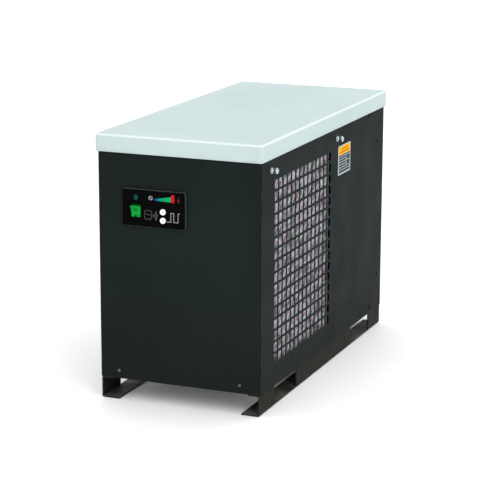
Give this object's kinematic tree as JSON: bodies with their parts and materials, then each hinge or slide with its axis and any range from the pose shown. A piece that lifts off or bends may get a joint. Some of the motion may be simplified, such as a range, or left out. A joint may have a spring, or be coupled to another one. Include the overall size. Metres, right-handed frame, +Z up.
{
  "type": "refrigerated air dryer",
  "caption": "Refrigerated compressed air dryer: charcoal sheet case with a pale lid on fork skids, side condenser grille, front timer panel, rear air ports.",
  "frame": {"origin": "on the floor under the middle of the dryer's bounding box", "axes": "+Z up, -Y towards the control panel, +X towards the condenser grille"},
  "size_m": [0.3594, 0.7746, 0.536],
  "materials": {
    "charcoal_paint": "fine textured charcoal powder coat",
    "cover_paint": "smooth pale cool grey powder coat",
    "galvanised_steel": "galvanised sheet with a light spangle",
    "grey_plastic": "moulded",
    "circuit_board": "solder-masked board",
    "black_plastic": "fine grained",
    "rocker_green": "translucent, lit from inside",
    "knob_white": "satin",
    "teal_lens": "clear tinted",
    "gauge_window": "smoked, with a printed scale",
    "chrome": "bright plated",
    "black_enamel": "gloss enamel",
    "label_film": "printed film, orange over pale bars",
    "coil_aluminium": "bare",
    "rubber": "matt",
    "exchanger_foam": "closed-cell insulation foam",
    "copper": "drawn copper tube",
    "brass": "machined"
  },
  "bodies": {
    "case": {"base_deck": "charcoal_paint", "capillary_line": "copper", "compressor_base": "black_enamel", "compressor_grommet_1": "rubber", "compressor_grommet_2": "rubber", "compressor_grommet_3": "rubber", "compressor_grommet_4": "rubber", "compressor_shell": "black_enamel", "compressor_terminal_cover": "black_plastic", "condenser_coil": "coil_aluminium", "condenser_stand": "galvanised_steel", "control_fascia": "black_plastic", "control_housing": "grey_plastic", "controller_board": "circuit_board", "discharge_line": "copper", "drain_outlet_fitting": "brass", "drain_solenoid_coil": "black_plastic", "drain_tube": "rubber", "drain_valve_body": "brass", "exchanger_stand": "galvanised_steel", "fan_motor": "black_enamel", "fan_motor_bracket": "galvanised_steel", "fan_shroud": "galvanised_steel", "filter_drier": "copper", "front_panel": "charcoal_paint", "front_screw_left": "black_enamel", "front_screw_right": "black_enamel", "gauge_window": "gauge_window", "heat_exchanger": "exchanger_foam", "hot_gas_inlet_line": "copper", "hot_gas_valve": "brass", "inlet_pipe": "copper", "inlet_port": "brass", "instruction_label": "label_film", "left_side_panel": "charcoal_paint", "left_skid": "charcoal_paint", "left_top_rail": "galvanised_steel", "liquid_line": "copper", "outlet_pipe": "copper", "outlet_port": "brass", "power_inlet_gland": "black_plastic", "rear_panel": "charcoal_paint", "right_side_panel": "charcoal_paint", "right_skid": "charcoal_paint", "right_top_rail": "galvanised_steel", "rocker_frame": "black_plastic", "separator_bowl": "coil_aluminium", "separator_inlet_pipe": "copper", "separator_outlet_pipe": "copper", "start_capacitor": "black_plastic", "status_lens": "teal_lens", "suction_line": "copper", "top_cross_brace": "galvanised_steel"},
    "cover": {"top_cover": "cover_paint"},
    "rocker": {"power_rocker": "rocker_green"},
    "upper_knob": {"upper_timer_knob": "knob_white"},
    "lower_knob": {"lower_timer_knob": "knob_white"},
    "fan": {"fan_blade": "grey_plastic"},
    "front_thumb_screw": {"thumb_screw_front": "chrome"},
    "rear_thumb_screw": {"thumb_screw_rear": "chrome"}
  },
  "joints": [
    {"name": "top_cover_lift", "type": "slide", "parent": "case", "child": "cover", "axis": [0, 0, 1], "range_m": [0, 0.16]},
    {"name": "power_rocker_tilt", "type": "hinge", "parent": "case", "child": "rocker", "pos_m": [-0.09175, -0.376, 0.3903], "axis": [1, 0, 0], "range_deg": [-20, 0]},
    {"name": "upper_timer_knob_turn", "type": "hinge", "parent": "case", "child": "upper_knob", "pos_m": [-0.03285, -0.3833, 0.3918], "axis": [0, -1, 0], "range_deg": [-135, 135]},
    {"name": "lower_timer_knob_turn", "type": "hinge", "parent": "case", "child": "lower_knob", "pos_m": [-0.03285, -0.3833, 0.3749], "axis": [0, -1, 0], "range_deg": [-135, 135]},
    {"name": "fan_spin", "type": "hinge", "parent": "case", "child": "fan", "pos_m": [0.08425, -0.15445, 0.27], "axis": [1, 0, 0], "continuous": true},
    {"name": "front_thumb_screw_turn", "type": "hinge", "parent": "case", "child": "front_thumb_screw", "pos_m": [0.16625, -0.3237, 0.4775], "axis": [1, 0, 0], "range_deg": [0, 90]},
    {"name": "rear_thumb_screw_turn", "type": "hinge", "parent": "case", "child": "rear_thumb_screw", "pos_m": [0.16625, 0.0498, 0.4775], "axis": [1, 0, 0], "range_deg": [0, 90]}
  ]
}
